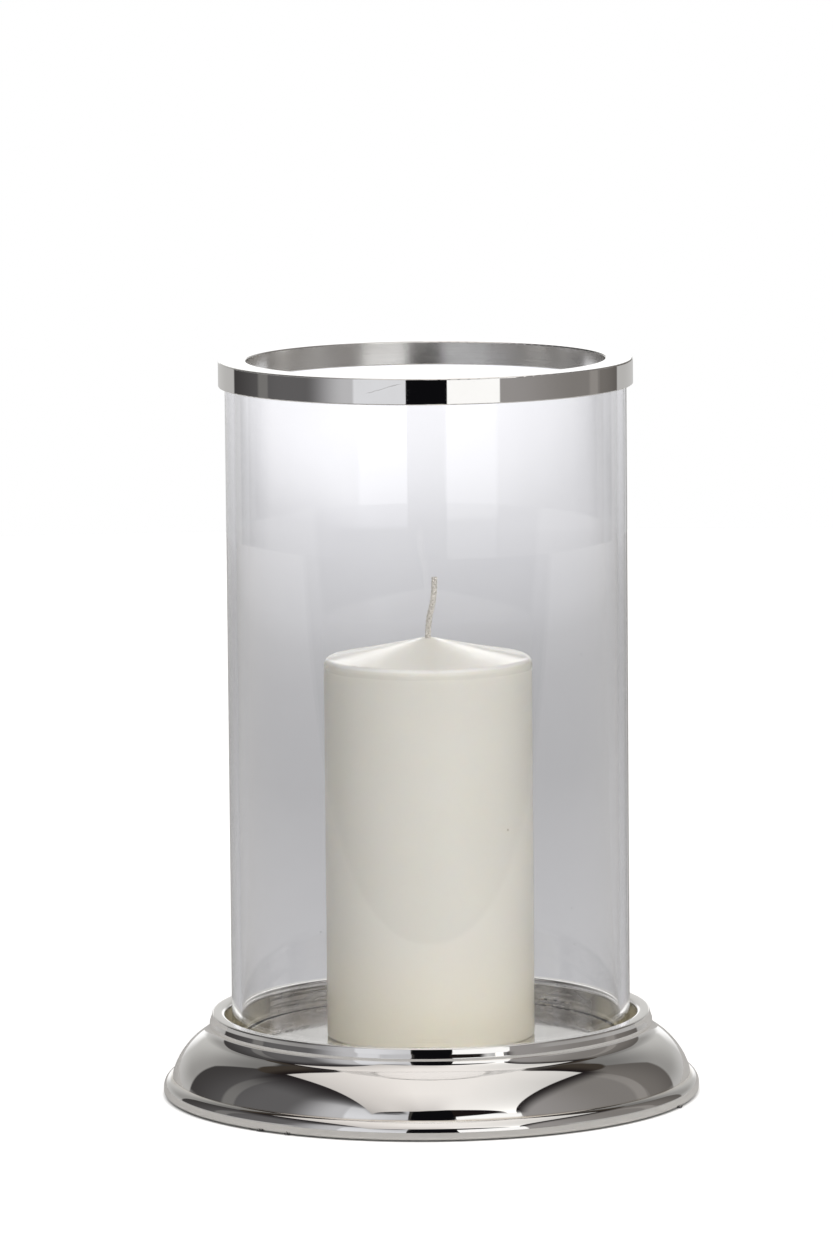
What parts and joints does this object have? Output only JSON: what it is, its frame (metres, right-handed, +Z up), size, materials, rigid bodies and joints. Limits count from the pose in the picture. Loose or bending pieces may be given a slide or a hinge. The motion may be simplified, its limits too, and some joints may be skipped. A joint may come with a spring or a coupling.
{
  "type": "candle lamp",
  "caption": "Free-standing candle lamp: round silver base with bead foot and collar, clear glass cylinder as shade, channel ring on the glass's top edge, and a pillar candle inside.",
  "frame": {"origin": "on the table surface, on the lamp's axis, at the middle of the felt's underside", "axes": "+Z up along the lamp's axis of revolution, -Y towards the side that the picture shows"},
  "size_m": [0.2032, 0.2032, 0.2793],
  "materials": {
    "silver": "silver plate on brass, polished to a mirror",
    "clear_glass": "clear, fire-polished edges",
    "wax": "ivory candle wax, satin",
    "cotton": "waxed cotton braid",
    "felt": "dark wool felt",
    "board": "plain grey-brown board"
  },
  "bodies": {
    "base": {"foot_body": "silver", "gallery_dish": "silver", "base_board": "board", "felt_pad": "felt"},
    "glass": {"glass_cylinder": "clear_glass"},
    "ring": {"rim_ring": "silver"},
    "candle": {"candle": "wax", "wick": "cotton"}
  },
  "joints": [
    {"name": "glass_lift", "type": "slide", "parent": "base", "child": "glass", "axis": [0, 0, 1], "range_m": [0, 0.18]},
    {"name": "ring_lift", "type": "slide", "parent": "glass", "child": "ring", "axis": [0, 0, 1], "range_m": [0, 0.03]},
    {"name": "candle_lift", "type": "slide", "parent": "base", "child": "candle", "axis": [0, 0, 1], "range_m": [0, 0.26]}
  ]
}
